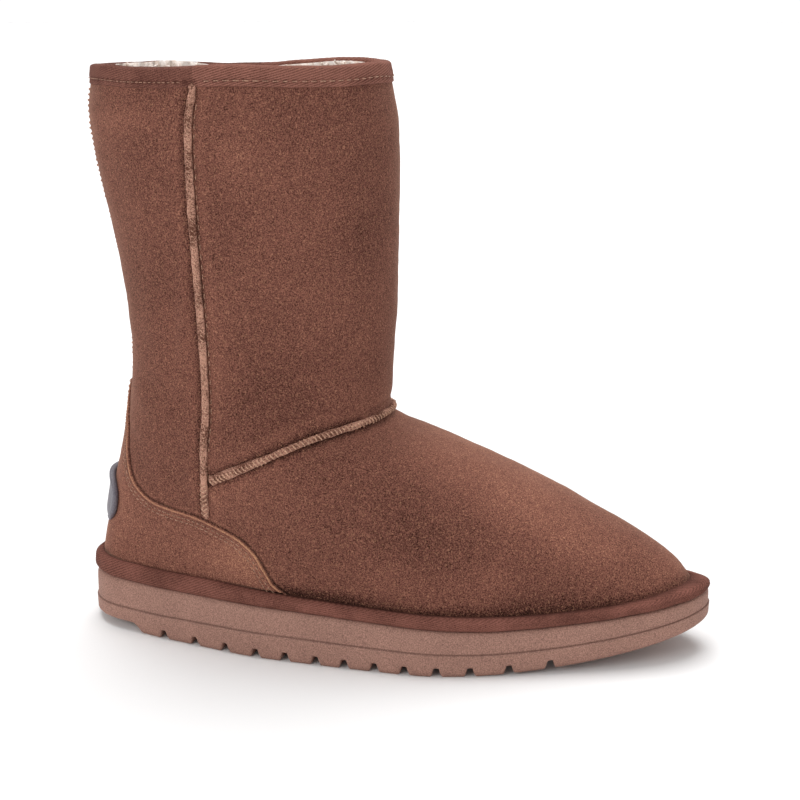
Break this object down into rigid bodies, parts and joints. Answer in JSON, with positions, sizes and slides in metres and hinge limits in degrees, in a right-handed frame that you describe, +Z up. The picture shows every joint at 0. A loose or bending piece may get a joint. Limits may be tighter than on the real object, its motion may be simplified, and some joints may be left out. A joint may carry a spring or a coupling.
{
  "type": "sheepskin boot",
  "caption": "Low sheepskin boot for the right foot: hollow suede upper lined with fleece, open at the collar, on a thick notched foam sole with a taped edge",
  "frame": {"origin": "on the ground, under the middle of the boot's bounding box", "axes": "+X towards the toe, +Y towards the wearer's left, which is the inner side of the foot, +Z up out of the collar"},
  "size_m": [0.2912, 0.1064, 0.2624],
  "materials": {
    "sheepskin_suede": "napped suede, warm brown, shaded by the lie of the nap",
    "seam_edge": "raw turned edge of the hide, light tan, whip stitched",
    "twill_tape": "woven twill tape, matt brown",
    "fleece": "clipped cream wool",
    "sole_foam": "moulded foam, matt taupe with a fine light speckle",
    "tab_rubber": "soft moulded rubber, satin grey"
  },
  "bodies": {
    "root": {"outsole": "sole_foam", "upper": "sheepskin_suede", "insole": "fleece", "welt": "twill_tape", "counter": "sheepskin_suede", "outer_side_seam": "seam_edge", "inner_side_seam": "seam_edge", "vamp_seam": "seam_edge", "back_seam": "seam_edge", "collar_tape": "twill_tape", "heel_tab": "tab_rubber"}
  },
  "joints": []
}
